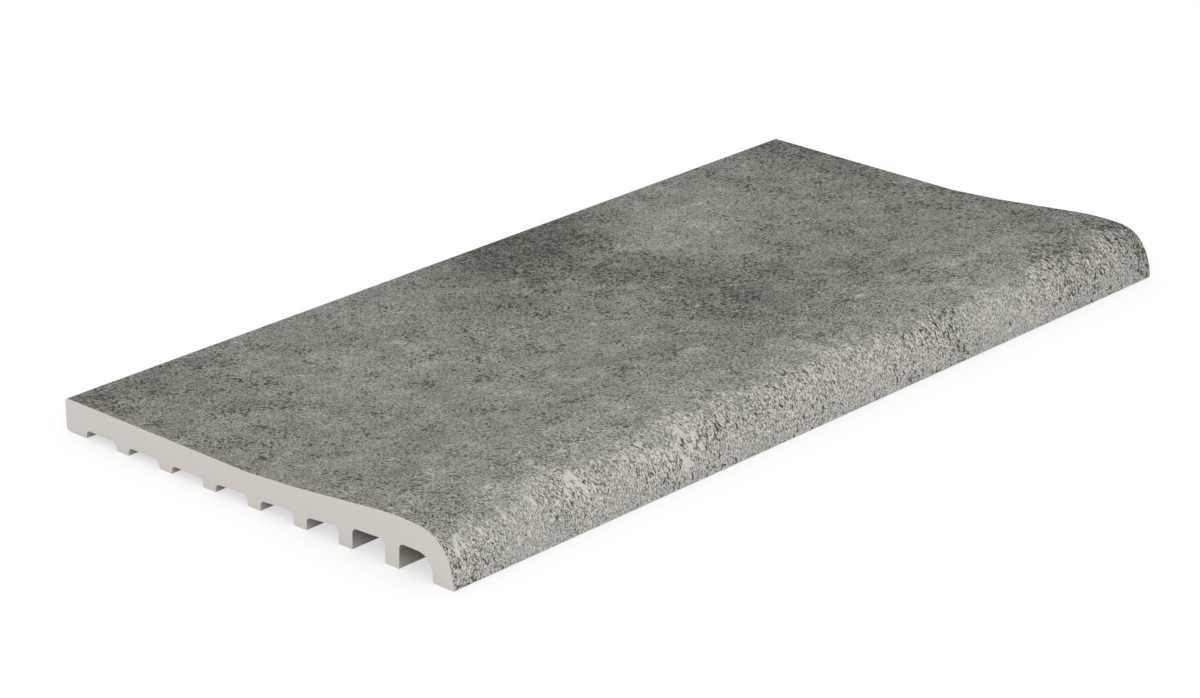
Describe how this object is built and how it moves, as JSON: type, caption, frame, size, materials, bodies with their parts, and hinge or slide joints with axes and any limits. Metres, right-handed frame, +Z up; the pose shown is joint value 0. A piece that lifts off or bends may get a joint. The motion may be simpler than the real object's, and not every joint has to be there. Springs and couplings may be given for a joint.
{
  "type": "pool edge tile",
  "caption": "Extruded stoneware pool edge tile: a flat walking face ramps up to a raised handgrip with a round nose, over a ribbed underside that is bedded in mortar.",
  "frame": {"origin": "middle of the tile at the foot plane of its ribs, where it lies on a level floor", "axes": "+X along the extruded length, +Y from the nose towards the back edge, +Z up through the walking face"},
  "size_m": [0.626, 0.314, 0.0308],
  "materials": {
    "stoneware": "matt stone-look glaze on the top and nose, bare fired body on the ends and underside"
  },
  "bodies": {
    "root": {"edge_tile": "stoneware"}
  },
  "joints": []
}
